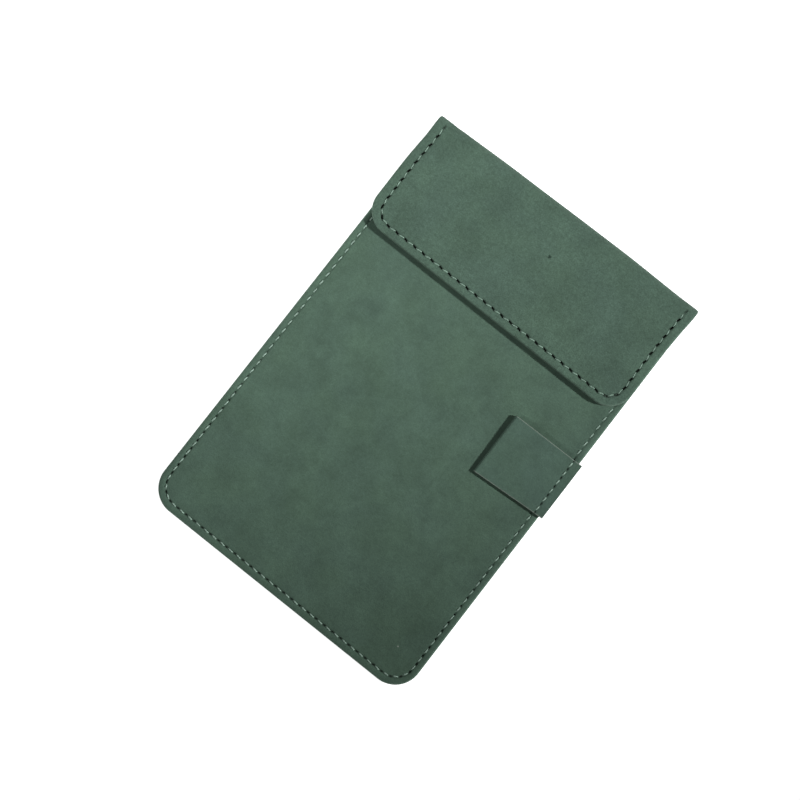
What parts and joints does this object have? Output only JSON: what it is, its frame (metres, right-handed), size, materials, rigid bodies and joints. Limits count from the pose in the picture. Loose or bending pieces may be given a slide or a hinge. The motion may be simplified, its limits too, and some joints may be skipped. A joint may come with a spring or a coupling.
{
  "type": "pocket notebook",
  "caption": "Slim pocket notebook in a stitched green nubuck sleeve with a magnetic fold-over flap and a flat pen loop on its right edge.",
  "frame": {"origin": "under the middle of the closed sleeve, on the plane its back panel lies on", "axes": "+Y along the sleeve towards the fold of the flap, +Z out of the front panel, +X towards the edge with the pen loop"},
  "size_m": [0.1015, 0.1503, 0.0103],
  "materials": {
    "green_nubuck": "matt brushed nubuck face, dark sage green, faint cloudy mottling",
    "lining": "thin matt microfibre",
    "board": "plain grey board",
    "welt": "raw cut edge",
    "thread": "twisted polyester sewing thread, pale mint",
    "magnet": "nickel-plated disc",
    "cover_card": "uncoated kraft card",
    "paper": "uncoated cream writing paper",
    "staple_wire": "galvanised wire"
  },
  "bodies": {
    "sleeve": {"back_outer_skin": "green_nubuck", "back_board": "board", "back_lining": "lining", "seam_welt": "welt", "front_lining": "lining", "front_card": "board", "front_keeper_left": "magnet", "front_keeper_right": "magnet", "front_outer_skin": "green_nubuck", "front_seam_thread": "thread", "back_seam_thread": "thread", "pen_loop_anchor": "green_nubuck"},
    "top_fold": {"top_fold_skin": "green_nubuck", "top_fold_lining": "lining"},
    "flap": {"flap_outer_skin": "green_nubuck", "flap_board": "board", "flap_magnet_left": "magnet", "flap_magnet_right": "magnet", "flap_lining": "lining", "flap_top_thread": "thread", "flap_under_thread": "thread"},
    "pen_loop": {"pen_loop_strap": "green_nubuck"},
    "notebook": {"notebook_cover": "cover_card", "page_sheet_1": "paper", "page_sheet_2": "paper", "page_sheet_3": "paper", "page_sheet_4": "paper", "page_sheet_5": "paper", "page_sheet_6": "paper", "page_sheet_7": "paper", "page_sheet_8": "paper", "staple_upper": "staple_wire", "staple_lower": "staple_wire"}
  },
  "joints": [
    {"name": "rear_crease", "type": "hinge", "parent": "sleeve", "child": "top_fold", "pos_m": [0, 0.0737, 0.0015], "axis": [-1, 0, 0], "range_deg": [0, 90], "deforming": ["top_fold_skin", "top_fold_lining"]},
    {"name": "front_crease", "type": "hinge", "parent": "top_fold", "child": "flap", "pos_m": [0, 0.0737, 0.0087], "axis": [-1, 0, 0], "range_deg": [0, 90]},
    {"name": "loop_hinge", "type": "hinge", "parent": "sleeve", "child": "pen_loop", "pos_m": [0.04645, 0.004, 0.00885], "axis": [0, 1, 0], "range_deg": [0, 110]},
    {"name": "pocket_slide", "type": "slide", "parent": "sleeve", "child": "notebook", "axis": [0, 1, 0], "range_m": [0, 0.155]}
  ],
  "couplings": [
    {"joint": "rear_crease", "follows": "front_crease", "ratio": 1}
  ]
}
